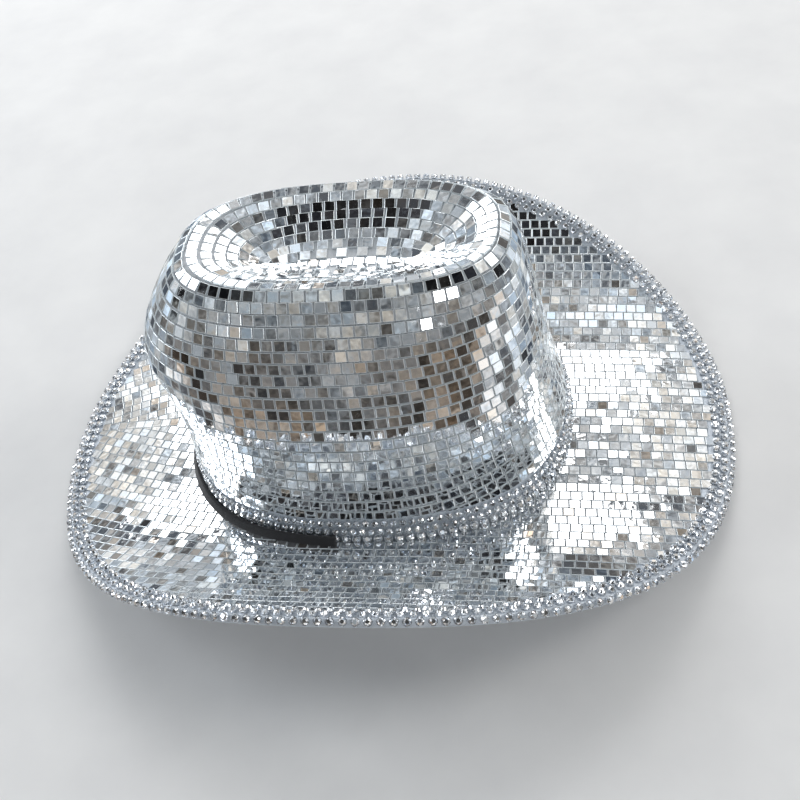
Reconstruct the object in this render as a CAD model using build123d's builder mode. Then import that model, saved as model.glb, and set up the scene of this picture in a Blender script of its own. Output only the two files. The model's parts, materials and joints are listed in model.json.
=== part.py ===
"""A mirror-mosaic western party hat: felt crown and brim, mirror tiles, rhinestone trims, sweatband.

The hat stands on its brim. +X is the front, +Z is up, and the origin is on the floor under the
middle of the brim. All sizes are in millimetres.
"""
import os
from math import asin, cos, degrees, pi, radians, sin

from build123d import *

os.makedirs("parts", exist_ok=True)

# ---- Driving dimensions ------------------------------------------------------------------------
BRIM_LENGTH = 362.0  # front to back, felt only
BRIM_WIDTH = 301.0  # side to side as worn, felt only
BRIM_SQUARENESS = 2.25  # 2 is an ellipse, more is squarer
BRIM_CURL = 46.5  # rise of the side edges above the head opening
BRIM_FLAT = 80.0  # width of the level strip between the two curls
BRIM_DIP = 9.6  # fall of the front and back edges below the head opening
FELT = 2.5  # felt of the crown and of the brim
BRIM_BLEED = 12.0  # the felt blank runs this far past its outline before it is trimmed

CROWN_SETBACK = 3.2  # middle of the head opening behind the middle of the brim
CROWN_HEIGHT = 127.0  # felt crest above the level of the head opening
HEAD_FRONT = 102.0  # felt foot of the crown, forward of its middle
HEAD_BACK = 100.0
HEAD_SIDE = 88.0

TILE = 1.5  # mirror glass on its mesh
SEAM_BELOW_CREST = 12.0  # where the side tiles end and the cap tiles begin

TAPE = 0.8  # backing tape of both rhinestone trims
EDGE_TAPE_WIDTH = 11.0  # on top of the brim
EDGE_TAPE_RETURN = 5.0  # under the brim
STONE_HEIGHT = 2.4
STONE_ROW = 4.0  # width of one row of stones
STONE_ROW_GAP = 0.3
STONE_EDGE_MARGIN = 1.0  # felt edge to the outermost row of stones on top
EDGE_ROWS = ("middle", "inner")  # the two rows on top, from the edge inwards
WIRE = 1.4  # brim wire, thickness
WIRE_ROOM = 0.1  # between the wire and the felt inside it

FOOT_BAND_HEIGHT = 16.0  # rhinestone band round the foot of the crown
FOOT_STONE_HEIGHT = 2.0
FOOT_ROWS = ("low", "middle", "high")

RIBBON = 2.0  # black ribbon round the back of the crown
RIBBON_HEIGHT = 6.5
RIBBON_FRONT = -12.0  # the cut ends of the ribbon, along X from the crown's middle

SWEATBAND = 1.2
SWEATBAND_HEIGHT = 34.0
FOAM = 2.5
FOAM_HEIGHT = 22.0
FOAM_WIDTH = 110.0
FOAM_RAISE = 4.0  # lower edge of the foam above the sweatband's lower edge
SIZE_TAPE = 0.9
SIZE_TAPE_HEIGHT = 18.0
SIZE_TAPE_WIDTH = 90.0
SIZE_TAPE_RAISE = 5.0  # lower edge of the tapes above the sweatband's lower edge
SIZE_TAPE_LAP = 40.0  # how far the hook half and the loop half lie side by side
LINING = 0.6
LINING_TIP_BELOW_CREST = 26.0  # the side lining ends here and the tip of the lining begins

# Height of the head opening above the floor, so that the taped front and back edges touch it.
OPENING = BRIM_DIP + FELT + TAPE

# The brim is level across its middle, with an arc up each side, and bent on one long arc to its
# front and back.
CURL_REACH = (BRIM_WIDTH - BRIM_FLAT) / 2
CURL_RADIUS = (CURL_REACH**2 + BRIM_CURL**2) / (2 * BRIM_CURL)
CURL_ANGLE = asin((CURL_REACH + BRIM_BLEED) / CURL_RADIUS)
DIP_RADIUS = ((BRIM_LENGTH / 2) ** 2 + BRIM_DIP**2) / (2 * BRIM_DIP)

# Sections of the crown, from below the brim, up the wall, over the crest and down into the dent.
# Height and reaches are shares of the crown's height and of its foot. The last value is the slope
# of the skin's outward direction, in degrees above level.
CROWN_SECTIONS = (
    # height, front, back, side, squareness, slope
    (-0.13, 1.000, 1.000, 1.000, 2.2, 0),
    (0.000, 1.000, 1.000, 1.000, 2.2, 6),
    (0.120, 0.978, 0.995, 0.972, 2.2, 12),
    (0.345, 0.918, 0.986, 0.858, 2.3, 19),
    (0.520, 0.885, 1.015, 0.778, 2.4, 21),
    (0.640, 0.863, 1.040, 0.716, 2.5, 24),
    (0.735, 0.843, 1.000, 0.655, 2.6, 27),
    (0.830, 0.825, 0.925, 0.592, 2.7, 32),
    (0.915, 0.800, 0.835, 0.515, 2.8, 40),
    (0.975, 0.765, 0.765, 0.458, 2.8, 58),
    (1.000, 0.715, 0.700, 0.415, 2.7, 90),
    (0.988, 0.665, 0.630, 0.360, 2.6, 112),
    (0.945, 0.560, 0.510, 0.268, 2.4, 120),
    (0.895, 0.435, 0.400, 0.145, 2.2, 115),
    (0.872, 0.340, 0.300, 0.035, 2.0, 95),
)
CREST_SECTION = 10
SECTION_POINTS = 16
OUTLINE_POINTS = 24


# ---- Curves ------------------------------------------------------------------------------------
def oval(front, back, side, squareness, count):
    """Points of a squarish oval whose front and back reach differently from its middle."""
    points = []
    for i in range(count):
        angle = 2 * pi * i / count
        along = abs(cos(angle)) ** (2 / squareness)
        across = abs(sin(angle)) ** (2 / squareness)
        middle = (front - back) / 2
        half = (front + back) / 2
        x = middle + half * (along if cos(angle) >= 0 else -along)
        y = side * (across if sin(angle) >= 0 else -across)
        points.append((x, y))
    return points


def brim_section(low, high):
    """The brim's section between two offsets of its upper face: level, with an arc up each side.

    It is drawn with the level stretch at height 0, and its side edges lie past the felt's.
    """
    half_flat = BRIM_FLAT / 2

    def on_arc(offset, share, side):
        radius = CURL_RADIUS - offset
        angle = CURL_ANGLE * share
        return (side * (half_flat + radius * sin(angle)), CURL_RADIUS - radius * cos(angle))

    def face_line(offset):
        """The three edges of one face of the section, from the right side to the left."""
        ThreePointArc(on_arc(offset, 1, 1), on_arc(offset, 0.5, 1), (half_flat, offset))
        Line((half_flat, offset), (-half_flat, offset))
        ThreePointArc((-half_flat, offset), on_arc(offset, 0.5, -1), on_arc(offset, 1, -1))

    face_line(low)
    face_line(high)
    for side in (1, -1):
        Line(on_arc(low, 1, side), on_arc(high, 1, side))


# ---- Shapes that several pieces are cut from -----------------------------------------------------
TALL = 400.0  # taller than the hat, for cuts that go right through


def brim_layer(low, high):
    """The space between two offsets of the brim's upper face, measured square to it."""
    lean = asin((BRIM_LENGTH / 2 + BRIM_BLEED) / DIP_RADIUS)
    start = Plane(
        origin=(-DIP_RADIUS * sin(lean), 0, OPENING - DIP_RADIUS * (1 - cos(lean))),
        x_dir=(0, 1, 0),
        z_dir=(cos(lean), 0, sin(lean)),
    )
    with BuildPart() as layer:
        with BuildSketch(start):
            with BuildLine():
                brim_section(low, high)
            make_face()
        revolve(axis=Axis((0, 0, OPENING - DIP_RADIUS), (0, 1, 0)), revolution_arc=2 * degrees(lean))
    return layer.part


def brim_outline(grow):
    """An upright block with the brim's outline, grown by some millimetres."""
    half_length = BRIM_LENGTH / 2 + grow
    half_width = BRIM_WIDTH / 2 + grow
    with BuildPart() as block:
        with BuildSketch(Plane.XY.offset(-TALL / 2)):
            with BuildLine():
                Spline(
                    *oval(half_length, half_length, half_width, BRIM_SQUARENESS, OUTLINE_POINTS),
                    periodic=True,
                )
            make_face()
        extrude(amount=TALL)
    return block.part


def crown_block(grow):
    """The solid crown, with the dent pressed into its top, grown square to its skin."""
    with BuildPart() as block:
        for height, front, back, side, squareness, slope in CROWN_SECTIONS:
            level = OPENING + CROWN_HEIGHT * height + grow * sin(radians(slope))
            out = grow * cos(radians(slope))
            with BuildSketch(Plane((-CROWN_SETBACK, 0, level))):
                with BuildLine():
                    Spline(
                        *oval(
                            HEAD_FRONT * front + out,
                            HEAD_BACK * back + out,
                            HEAD_SIDE * side + out,
                            squareness,
                            SECTION_POINTS,
                        ),
                        periodic=True,
                    )
                make_face()
        loft(ruled=True)
    return block.part


def crest_column():
    """An upright block inside the line of the crown's crest."""
    _, front, back, side, squareness, _ = CROWN_SECTIONS[CREST_SECTION]
    with BuildPart() as column:
        with BuildSketch(Plane((-CROWN_SETBACK, 0, 0))):
            with BuildLine():
                Spline(
                    *oval(
                        HEAD_FRONT * front,
                        HEAD_BACK * back,
                        HEAD_SIDE * side,
                        squareness,
                        SECTION_POINTS,
                    ),
                    periodic=True,
                )
            make_face()
        extrude(amount=TALL)
    return column.part


def slice_between(low, high):
    """A level slice of space between two heights."""
    with BuildPart() as space:
        with BuildSketch(Plane.XY.offset(low)):
            Rectangle(TALL, TALL)
        extrude(amount=high - low)
    return space.part


def cut_layer(low, high, grow):
    """A layer of the brim, cut to the brim's outline grown by some millimetres."""
    with BuildPart() as layer:
        add(brim_layer(low, high))
        add(brim_outline(grow), mode=Mode.INTERSECT)
    return layer.part


FOOT_DEPTH = FELT + 2 * OPENING  # deeper than the crown's foot reaches below the brim's top
BELOW_BRIM_TOP = brim_layer(-FOOT_DEPTH, 0)
CROWN_OUTER = crown_block(0)
CROWN_INNER = crown_block(-FELT)
CROWN_GLASS = crown_block(TILE)
CREST = OPENING + CROWN_HEIGHT
SEAM = CREST - SEAM_BELOW_CREST
FOOT_BAND = brim_layer(0, FOOT_BAND_HEIGHT)
CREST_COLUMN = crest_column()

pieces = []


def keep(part, name):
    """Label a finished piece and write it to its own file."""
    part.part.label = name
    pieces.append(name)
    export_step(part.part, f"parts/{name}.step")


# ---- Felt body -----------------------------------------------------------------------------------
with BuildPart() as crown_shell:
    add(CROWN_OUTER)
    add(CROWN_INNER, mode=Mode.SUBTRACT)
    add(BELOW_BRIM_TOP, mode=Mode.SUBTRACT)
keep(crown_shell, "crown_shell")

with BuildPart() as brim_shell:
    add(cut_layer(-FELT, 0, -WIRE - WIRE_ROOM))
    add(CROWN_INNER, mode=Mode.SUBTRACT)
keep(brim_shell, "brim_shell")

# ---- Mirror tiles --------------------------------------------------------------------------------
with BuildPart() as crown_side_tiles:
    add(CROWN_GLASS)
    add(CROWN_OUTER, mode=Mode.SUBTRACT)
    add(BELOW_BRIM_TOP, mode=Mode.SUBTRACT)
    add(FOOT_BAND, mode=Mode.SUBTRACT)
    add(slice_between(SEAM, TALL), mode=Mode.SUBTRACT)
    add(CREST_COLUMN, mode=Mode.SUBTRACT)
keep(crown_side_tiles, "crown_side_tiles")

with BuildPart() as crown_cap_tiles:
    add(CROWN_GLASS)
    add(CROWN_OUTER, mode=Mode.SUBTRACT)
    add(slice_between(SEAM, TALL), mode=Mode.INTERSECT)
    add(CREST_COLUMN, mode=Mode.SUBTRACT)
keep(crown_cap_tiles, "crown_cap_tiles")

with BuildPart() as dent_tiles:
    add(CROWN_GLASS)
    add(CROWN_OUTER, mode=Mode.SUBTRACT)
    add(CREST_COLUMN, mode=Mode.INTERSECT)
keep(dent_tiles, "dent_tiles")

with BuildPart() as brim_tiles:
    add(cut_layer(0, TILE, -EDGE_TAPE_WIDTH))
    add(crown_block(TAPE + FOOT_STONE_HEIGHT + RIBBON), mode=Mode.SUBTRACT)
keep(brim_tiles, "brim_tiles")

# ---- Brim edge: wire, tape and three rows of stones ----------------------------------------------
with BuildPart() as brim_wire:
    add(cut_layer(-(FELT + WIRE) / 2, -(FELT - WIRE) / 2, 0))
    add(brim_outline(-WIRE), mode=Mode.SUBTRACT)
keep(brim_wire, "brim_wire")

with BuildPart() as edge_tape:
    add(cut_layer(-FELT - TAPE, TAPE, TAPE))
    add(cut_layer(-FELT - 2 * TAPE, -FELT, -EDGE_TAPE_RETURN), mode=Mode.SUBTRACT)
    add(brim_outline(-EDGE_TAPE_WIDTH), mode=Mode.SUBTRACT)
    add(cut_layer(-FELT, 0, 0), mode=Mode.SUBTRACT)
keep(edge_tape, "edge_tape")

for row, row_name in enumerate(EDGE_ROWS):
    outer = -STONE_EDGE_MARGIN - row * (STONE_ROW + STONE_ROW_GAP)
    with BuildPart() as edge_stones:
        add(cut_layer(TAPE, TAPE + STONE_HEIGHT, outer))
        add(brim_outline(outer - STONE_ROW), mode=Mode.SUBTRACT)
    keep(edge_stones, f"edge_stones_{row_name}")

with BuildPart() as edge_stones_rim:
    add(cut_layer(-FELT - TAPE, TAPE, TAPE + STONE_HEIGHT))
    add(brim_outline(TAPE), mode=Mode.SUBTRACT)
keep(edge_stones_rim, "edge_stones_rim")

# ---- Foot of the crown: tape, three rows of stones and the black ribbon --------------------------
CROWN_TAPED = crown_block(TAPE)
CROWN_STONED = crown_block(TAPE + FOOT_STONE_HEIGHT)

with BuildPart() as foot_tape:
    add(CROWN_TAPED)
    add(CROWN_OUTER, mode=Mode.SUBTRACT)
    add(FOOT_BAND, mode=Mode.INTERSECT)
keep(foot_tape, "foot_tape")

foot_row_pitch = FOOT_BAND_HEIGHT / len(FOOT_ROWS)
for row, row_name in enumerate(FOOT_ROWS):
    low = row * foot_row_pitch + STONE_ROW_GAP
    with BuildPart() as foot_stones:
        add(CROWN_STONED)
        add(CROWN_TAPED, mode=Mode.SUBTRACT)
        add(brim_layer(low, (row + 1) * foot_row_pitch), mode=Mode.INTERSECT)
    keep(foot_stones, f"foot_stones_{row_name}")

with BuildPart() as black_ribbon:
    add(crown_block(TAPE + FOOT_STONE_HEIGHT + RIBBON))
    add(CROWN_STONED, mode=Mode.SUBTRACT)
    add(brim_layer(STONE_ROW_GAP, RIBBON_HEIGHT), mode=Mode.INTERSECT)
    with BuildSketch(Plane.XY):
        with Locations((-CROWN_SETBACK + RIBBON_FRONT, 0)):
            Rectangle(TALL, TALL, align=(Align.MAX, Align.CENTER))
    extrude(amount=TALL, mode=Mode.INTERSECT)
keep(black_ribbon, "black_ribbon")

# ---- Inside of the crown ---------------------------------------------------------------------------
CROWN_BANDED = crown_block(-FELT - SWEATBAND)
BAND_LOW = OPENING - FELT


def inside_band(outer, inner, low, height):
    """A band round the inside of the head opening, between two offsets of the crown."""
    with BuildPart() as band:
        add(outer)
        add(inner, mode=Mode.SUBTRACT)
        add(slice_between(low, low + height), mode=Mode.INTERSECT)
    return band.part


def front_or_back(part, side, width):
    """The stretch of a band that is a given width across, at the front (1) or at the back (-1)."""
    with BuildPart() as stretch:
        add(part)
        with BuildSketch(Plane.XY):
            with Locations((-CROWN_SETBACK, 0)):
                Rectangle(
                    TALL, width, align=(Align.MIN if side > 0 else Align.MAX, Align.CENTER)
                )
        extrude(amount=TALL, mode=Mode.INTERSECT)
    return stretch.part


with BuildPart() as sweatband:
    add(inside_band(CROWN_INNER, CROWN_BANDED, BAND_LOW, SWEATBAND_HEIGHT))
keep(sweatband, "sweatband")

CROWN_PADDED = crown_block(-FELT - SWEATBAND - FOAM)
CROWN_SIZED = crown_block(-FELT - SWEATBAND - SIZE_TAPE)
CROWN_LAPPED = crown_block(-FELT - SWEATBAND - 2 * SIZE_TAPE)
foam_ring = inside_band(CROWN_BANDED, CROWN_PADDED, BAND_LOW + FOAM_RAISE, FOAM_HEIGHT)
loop_ring = inside_band(CROWN_BANDED, CROWN_SIZED, BAND_LOW + SIZE_TAPE_RAISE, SIZE_TAPE_HEIGHT)
hook_ring = inside_band(CROWN_SIZED, CROWN_LAPPED, BAND_LOW + SIZE_TAPE_RAISE, SIZE_TAPE_HEIGHT)

with BuildPart() as sweatband_foam:
    add(front_or_back(foam_ring, 1, FOAM_WIDTH))
keep(sweatband_foam, "sweatband_foam")

with BuildPart() as size_tape_loop:
    add(front_or_back(loop_ring, -1, SIZE_TAPE_WIDTH))
keep(size_tape_loop, "size_tape_loop")

with BuildPart() as size_tape_hook:
    add(front_or_back(hook_ring, -1, SIZE_TAPE_LAP))
keep(size_tape_hook, "size_tape_hook")

CROWN_LINED = crown_block(-FELT - LINING)
LINING_LOW = BAND_LOW + SWEATBAND_HEIGHT
TIP_LEVEL = CREST - LINING_TIP_BELOW_CREST

with BuildPart() as lining_side:
    add(inside_band(CROWN_INNER, CROWN_LINED, LINING_LOW, TIP_LEVEL - LINING_LOW))
keep(lining_side, "lining_side")

with BuildPart() as lining_tip:
    add(inside_band(CROWN_INNER, CROWN_LINED, TIP_LEVEL, TALL))
keep(lining_tip, "lining_tip")

print(len(pieces), "pieces:", ", ".join(pieces))
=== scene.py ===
"""The looks of a mirror mosaic western hat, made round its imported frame.

Lengths are in metres. +X is the front of the hat, +Z is up, and the hat stands on its brim.
"""
import json
from math import asin, cos, pi, radians, sin

import bpy
import numpy as np
from mathutils import Matrix, Vector


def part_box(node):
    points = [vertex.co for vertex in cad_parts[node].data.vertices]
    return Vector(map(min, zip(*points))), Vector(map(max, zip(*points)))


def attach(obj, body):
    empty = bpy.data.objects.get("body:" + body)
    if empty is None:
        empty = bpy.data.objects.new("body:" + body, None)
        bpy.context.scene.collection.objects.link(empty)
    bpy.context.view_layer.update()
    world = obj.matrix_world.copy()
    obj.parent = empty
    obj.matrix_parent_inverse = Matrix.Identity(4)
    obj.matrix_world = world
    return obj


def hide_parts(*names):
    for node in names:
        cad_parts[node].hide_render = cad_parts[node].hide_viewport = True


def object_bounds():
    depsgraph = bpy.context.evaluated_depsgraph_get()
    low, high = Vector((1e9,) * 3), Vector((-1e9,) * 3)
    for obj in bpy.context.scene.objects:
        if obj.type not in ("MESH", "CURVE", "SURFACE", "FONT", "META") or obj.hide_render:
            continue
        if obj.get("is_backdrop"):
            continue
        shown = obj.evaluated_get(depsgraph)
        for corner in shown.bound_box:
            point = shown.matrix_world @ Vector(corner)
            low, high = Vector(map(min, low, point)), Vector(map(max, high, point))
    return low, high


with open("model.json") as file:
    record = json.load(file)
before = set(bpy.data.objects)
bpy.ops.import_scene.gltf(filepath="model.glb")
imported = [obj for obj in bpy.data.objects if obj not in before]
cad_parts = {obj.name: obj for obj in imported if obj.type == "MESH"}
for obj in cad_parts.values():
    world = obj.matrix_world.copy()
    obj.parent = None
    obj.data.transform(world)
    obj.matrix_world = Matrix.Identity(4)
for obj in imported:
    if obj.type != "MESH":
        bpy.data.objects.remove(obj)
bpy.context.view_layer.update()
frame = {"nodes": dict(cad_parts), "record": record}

MM = 0.001
dice = np.random.default_rng(1231)

# ---- Sizes of the frame ------------------------------------------------------------------------
FELT = 2.5 * MM
BAND_LOW, BAND_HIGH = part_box("sweatband")
WIRE_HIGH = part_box("brim_wire")[1]
OPENING = BAND_LOW.z + FELT  # level of the head opening
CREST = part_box("crown_shell")[1].z
CROWN_HEIGHT = CREST - OPENING
CROWN_MIDDLE = frame["record"]["mounts"][0]["pos_m"][0]  # along X
HEAD_FRONT = BAND_HIGH.x + FELT - CROWN_MIDDLE
HEAD_BACK = CROWN_MIDDLE - BAND_LOW.x + FELT
HEAD_SIDE = BAND_HIGH.y + FELT
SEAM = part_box("crown_cap_tiles")[0].z  # side tiles below, cap tiles above
LINING_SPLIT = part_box("lining_tip")[0].z

# Sections of the crown from below the brim, up the wall, over the crest and down into the dent:
# height, front, back and side as shares of the crown's height and foot, and the squareness.
CROWN_SECTIONS = (
    (-0.13, 1.000, 1.000, 1.000, 2.2),
    (0.000, 1.000, 1.000, 1.000, 2.2),
    (0.120, 0.978, 0.995, 0.972, 2.2),
    (0.345, 0.918, 0.986, 0.858, 2.3),
    (0.520, 0.885, 1.015, 0.778, 2.4),
    (0.640, 0.863, 1.040, 0.716, 2.5),
    (0.735, 0.843, 1.000, 0.655, 2.6),
    (0.830, 0.825, 0.925, 0.592, 2.7),
    (0.915, 0.800, 0.835, 0.515, 2.8),
    (0.975, 0.765, 0.765, 0.458, 2.8),
    (1.000, 0.715, 0.700, 0.415, 2.7),
    (0.988, 0.665, 0.630, 0.360, 2.6),
    (0.945, 0.560, 0.510, 0.268, 2.4),
    (0.895, 0.435, 0.400, 0.145, 2.2),
    (0.872, 0.340, 0.300, 0.035, 2.0),
)
CREST_SECTION = 10

BRIM_HALF_LENGTH = WIRE_HIGH.x
BRIM_HALF_WIDTH = WIRE_HIGH.y
BRIM_SQUARENESS = 2.25
BRIM_CURL = 46.5 * MM  # rise of the side edges above the head opening
BRIM_FLAT = 80.0 * MM  # width of the level strip between the two curls
BRIM_DIP = 9.6 * MM  # fall of the front and back edges
CURL_REACH = BRIM_HALF_WIDTH - BRIM_FLAT / 2
CURL_RADIUS = (CURL_REACH**2 + BRIM_CURL**2) / (2 * BRIM_CURL)
DIP_RADIUS = (BRIM_HALF_LENGTH**2 + BRIM_DIP**2) / (2 * BRIM_DIP)

# ---- Sizes of the trim ---------------------------------------------------------------------------
TILE = 5.0 * MM
TILE_PITCH = 5.5 * MM
TILE_BED = 0.35 * MM  # the mesh sheet and glue under the glass
TILE_TOP = 1.45 * MM
TILE_BEVEL = 0.2 * MM
TAPE = 0.8 * MM
EDGE_TAPE_WIDTH = 11.0 * MM
EDGE_TAPE_RETURN = 5.0 * MM
FOOT_BAND_HEIGHT = 16.0 * MM
FOOT_STONE_HEIGHT = 2.0 * MM
EDGE_STONE_HEIGHT = 2.4 * MM
RIBBON_HEIGHT = 6.5 * MM
RIBBON = 1.6 * MM
RIBBON_FLARE = 2.6 * MM  # its lower edge lies this far out from its upper edge
RIBBON_RIPPLE = 0.25 * MM
RIPPLES = 9  # waves of the ribbon in a full turn
SWEATBAND = 1.2 * MM


# ---- Finishes --------------------------------------------------------------------------------------
class Flow:
    """The output of a shader node. Arithmetic on it adds Math nodes."""

    def __init__(self, finish, socket):
        self.finish = finish
        self.socket = socket

    def math(self, operation, first, second=None):
        values = {0: first} if second is None else {0: first, 1: second}
        return self.finish.node("ShaderNodeMath", {"operation": operation}, values)

    def __add__(self, other):
        return self.math("ADD", self, other)

    def __radd__(self, other):
        return self.math("ADD", other, self)

    def __sub__(self, other):
        return self.math("SUBTRACT", self, other)

    def __rsub__(self, other):
        return self.math("SUBTRACT", other, self)

    def __mul__(self, other):
        return self.math("MULTIPLY", self, other)

    def __rmul__(self, other):
        return self.math("MULTIPLY", other, self)

    def __truediv__(self, other):
        return self.math("DIVIDE", self, other)

    def sine(self):
        return self.math("SINE", self)

    def fraction(self):
        return self.math("FRACT", self)

    def between(self, low, high):
        """0 at or below low, 1 at or above high, and smooth between them."""
        return self.finish.node(
            "ShaderNodeMapRange", {"interpolation_type": "SMOOTHSTEP"}, {0: self, 1: low, 2: high}
        )


class Finish:
    """A node tree that a finish is built in."""

    def __init__(self, tree):
        self.tree = tree
        tree.nodes.clear()

    def node(self, kind, settings=None, sockets=None, output=0):
        """Adds a node: its settings first, then values or links on its sockets."""
        made = self.tree.nodes.new(kind)
        for name, value in (settings or {}).items():
            if name == "stops":
                self.set_stops(made.color_ramp, value)
            else:
                setattr(made, name, value)
        for name, value in (sockets or {}).items():
            if isinstance(value, Flow):
                self.tree.links.new(value.socket, made.inputs[name])
            else:
                made.inputs[name].default_value = value
        return Flow(self, made.outputs[output]) if made.outputs else None

    def set_stops(self, ramp, stops):
        while len(ramp.elements) < len(stops):
            ramp.elements.new(0.5)
        for element, (place, colour) in zip(ramp.elements, stops):
            element.position = place
            element.color = (*colour, 1)

    def place(self):
        """The point on the hat, in metres."""
        return self.node("ShaderNodeTexCoord", output=3)

    def mark(self, name):
        """A value that the maker of the piece stored on its mesh."""
        return self.node("ShaderNodeAttribute", {"attribute_name": name}, output=2)

    def noise(self, scale, detail=3.0, roughness=0.55, at=None):
        sockets = {"Scale": scale, "Detail": detail, "Roughness": roughness}
        sockets["Vector"] = self.place() if at is None else at
        return self.node("ShaderNodeTexNoise", None, sockets)

    def ramp(self, value, *stops):
        return self.node("ShaderNodeValToRGB", {"stops": stops}, {0: value})

    def blend(self, share, first, second, way="MIX"):
        """A colour: the first at share 0, the second at 1."""
        return self.node(
            "ShaderNodeMix", {"data_type": "RGBA", "blend_type": way}, {0: share, 6: first, 7: second}, 2
        )

    def bump(self, height, strength, distance):
        sockets = {"Height": height, "Strength": strength, "Distance": distance}
        return self.node("ShaderNodeBump", None, sockets)


def coat_of(name, build):
    """A material whose surface is what build puts on the main shader's sockets."""
    material = bpy.data.materials.new(name)
    material.use_nodes = True
    finish = Finish(material.node_tree)
    surface = finish.node("ShaderNodeBsdfPrincipled", None, build(finish))
    finish.node("ShaderNodeOutputMaterial", None, {"Surface": surface})
    return material


def mirror_surface(f):
    """Silvered glass: a tone of its own on each tile, faint smears and slightly wavy glass. A few tiles get
    a dark or brown painted reflection; the rest vary slightly in silver.
    """
    tone = f.mark("tone")
    # The dark and brown stops at the low end are painted reflections on a few random tiles; the paler stops
    # are the silver's own slight variation.
    silver_and_painted_reflection = f.ramp(
        tone,
        (0.00, (0.34, 0.33, 0.32)),
        (0.03, (0.60, 0.53, 0.46)),
        (0.07, (0.74, 0.79, 0.84)),
        (0.35, (0.84, 0.86, 0.88)),
        (1.00, (0.93, 0.94, 0.95)),
    )
    smear = f.noise(260.0, 4.0).between(0.45, 0.75)
    dust = f.noise(2600.0, 2.0).between(0.62, 0.80)
    colour = f.blend(smear * 0.10, silver_and_painted_reflection, (0.70, 0.72, 0.74, 1))
    wave = f.noise(230.0, 1.0)
    return {
        "Base Color": colour,
        "Metallic": 1.0 - 0.25 * dust,
        "Roughness": 0.035 + 0.09 * smear + 0.12 * dust,
        "Normal": f.bump(wave, 0.25, 0.00016),
    }


def glass_edge_surface(f):
    """The cut edges of the tiles, pale and slightly ground."""
    grain = f.noise(5200.0, 2.0)
    colour = f.ramp(grain, (0.25, (0.80, 0.87, 0.91)), (0.75, (0.95, 0.98, 1.0)))
    return {
        "Base Color": colour,
        "Metallic": 0.35,
        "Roughness": 0.12 + 0.22 * grain,
        "Coat Weight": 0.6,
        "Coat Roughness": 0.08,
        "Normal": f.bump(grain, 0.35, 0.00005),
    }


def stone_surface(f):
    """Foiled crystal: hard bright facets, with blue and pink glints painted into the colour as the stone's
    fire.
    """
    painted_fire = f.noise(420.0, 2.0)
    # Painted fire: the blue and pink stops paint glints of dispersed light into the stone's colour.
    colour = f.ramp(
        painted_fire,
        (0.25, (0.70, 0.80, 0.97)),
        (0.42, (0.93, 0.95, 0.98)),
        (0.60, (0.97, 0.97, 0.96)),
        (0.72, (0.97, 0.84, 0.80)),
    )
    return {
        "Base Color": colour,
        "Metallic": 0.92,
        "Roughness": 0.02 + 0.05 * painted_fire,
        "Coat Weight": 1.0,
        "Coat Roughness": 0.02,
    }


def cup_surface(f):
    """Plated pressed cups, a little tarnished in the hollows."""
    wear = f.noise(900.0, 4.0)
    colour = f.ramp(wear, (0.30, (0.60, 0.63, 0.68)), (0.65, (0.88, 0.90, 0.92)))
    return {
        "Base Color": colour,
        "Metallic": 1.0,
        "Roughness": 0.16 + 0.22 * wear,
        "Normal": f.bump(wear, 0.3, 0.00005),
    }


def felt_finish(dark, light, fuzz):
    """Pressed felt: matted fibres in two sizes over a slow change of shade."""

    def surface(f):
        fibre = f.noise(5200.0, 6.0, 0.75)
        mat = f.noise(900.0, 5.0, 0.65)
        shade = f.noise(38.0, 3.0)
        colour = f.blend(0.55 * fibre + 0.3 * mat + 0.15 * shade, (*dark, 1), (*light, 1))
        return {
            "Base Color": colour,
            "Roughness": 0.82 + 0.16 * mat,
            "Sheen Weight": fuzz,
            "Sheen Roughness": 0.45,
            "Normal": f.bump(0.6 * fibre + 0.4 * mat, 0.8, 0.0003),
        }

    return surface


def woven_finish(dark, light, pitch, metal, gloss):
    """A woven tape or band: ribs across it, threads along it, and painted shade in the low places of the
    weave.
    """

    def surface(f):
        place = f.place()
        parts = [f.node("ShaderNodeSeparateXYZ", None, {0: place}, i) for i in range(3)]
        waves = [(part * (2 * pi / pitch)).sine() for part in parts]
        weave_relief_and_painted_shade = 0.5 + 0.25 * (waves[0] + waves[1]) * waves[2]
        fluff = f.noise(4200.0, 4.0)
        height = 0.7 * weave_relief_and_painted_shade + 0.3 * fluff
        return {
            # Painted shade: the colour follows the height, so the low places between the threads are
            # painted darker.
            "Base Color": f.blend(height, (*dark, 1), (*light, 1)),
            "Metallic": metal,
            "Roughness": gloss + 0.25 * fluff,
            "Normal": f.bump(height, 0.7, 0.0002),
        }

    return surface


def satin_surface(f):
    """Lining satin: fine threads one way, with a soft change of shade."""
    place = f.place()
    stretched = f.node("ShaderNodeMapping", None, {"Vector": place, "Scale": (1.0, 1.0, 0.08)})
    thread = f.noise(5200.0, 3.0, 0.6, stretched)
    shade = f.noise(24.0, 3.0)
    return {
        "Base Color": f.blend(
            0.5 * thread + 0.5 * shade, (0.30, 0.31, 0.34, 1), (0.62, 0.63, 0.67, 1)
        ),
        "Roughness": 0.30 + 0.22 * thread,
        "Sheen Weight": 0.4,
        "Normal": f.bump(thread, 0.35, 0.00008),
    }


def foam_surface(f):
    """Open-cell foam: many small pores, with painted shade darkening their pits."""
    place = f.place()
    cells = f.node("ShaderNodeTexVoronoi", None, {"Vector": place, "Scale": 1500.0})
    pore_depth_and_painted_shade = cells.between(0.05, 0.55)
    return {
        # Painted shade: the pits of the pores are painted darker than the foam around them.
        "Base Color": f.blend(pore_depth_and_painted_shade, (0.035, 0.035, 0.037, 1), (0.15, 0.15, 0.16, 1)),
        "Roughness": 0.9,
        "Normal": f.bump(pore_depth_and_painted_shade, 0.9, 0.0005),
    }


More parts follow.
